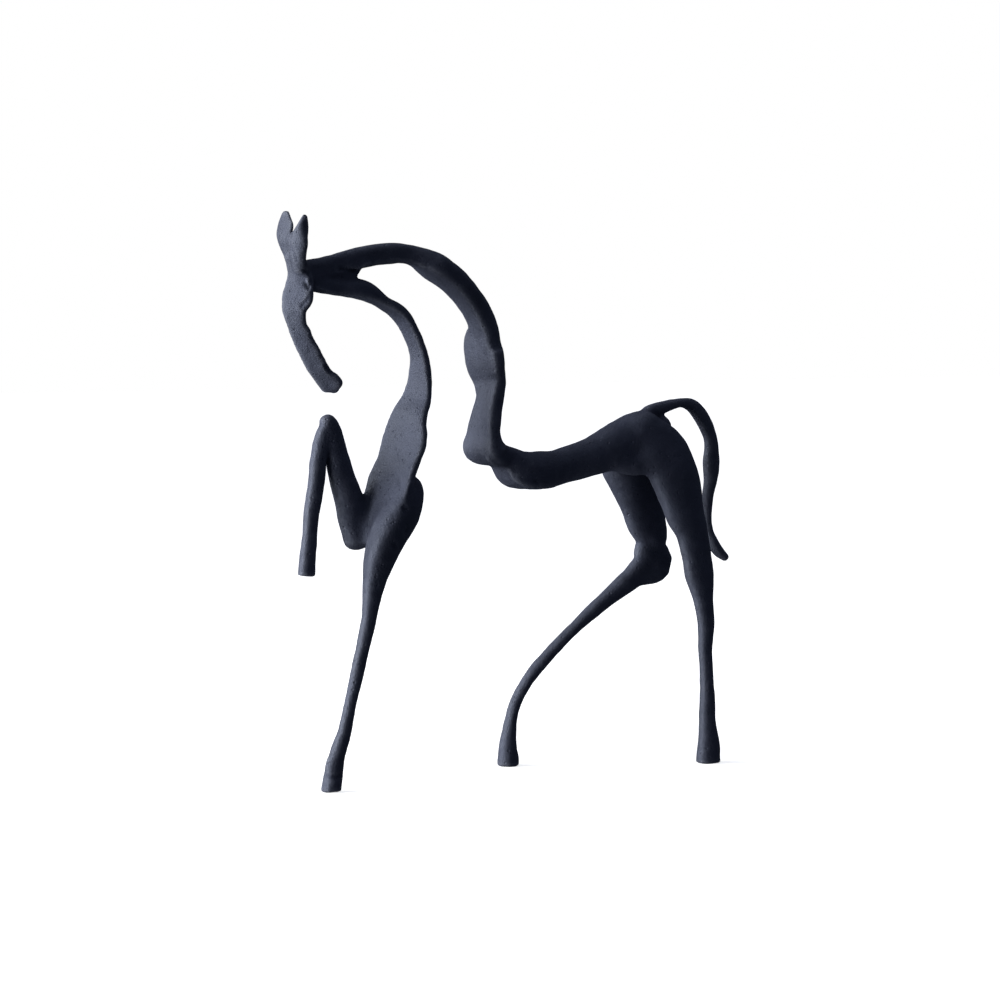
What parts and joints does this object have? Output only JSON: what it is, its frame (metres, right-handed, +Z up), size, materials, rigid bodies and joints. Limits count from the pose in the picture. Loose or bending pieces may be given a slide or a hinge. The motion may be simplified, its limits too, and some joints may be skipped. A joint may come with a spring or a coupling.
{
  "type": "horse sculpture",
  "caption": "Openwork standing horse in cast iron with a bowed head, an open neck and body, one raised foreleg and an arched tail.",
  "frame": {"origin": "centre of the bounding box on the ground plane, on which the three hooves stand", "axes": "+Z up, -X the way the horse faces, -Y its left side"},
  "size_m": [0.2746, 0.0574, 0.3003],
  "materials": {
    "iron": "satin blue-black over a fine casting grain"
  },
  "bodies": {
    "root": {"horse": "iron"}
  },
  "joints": []
}
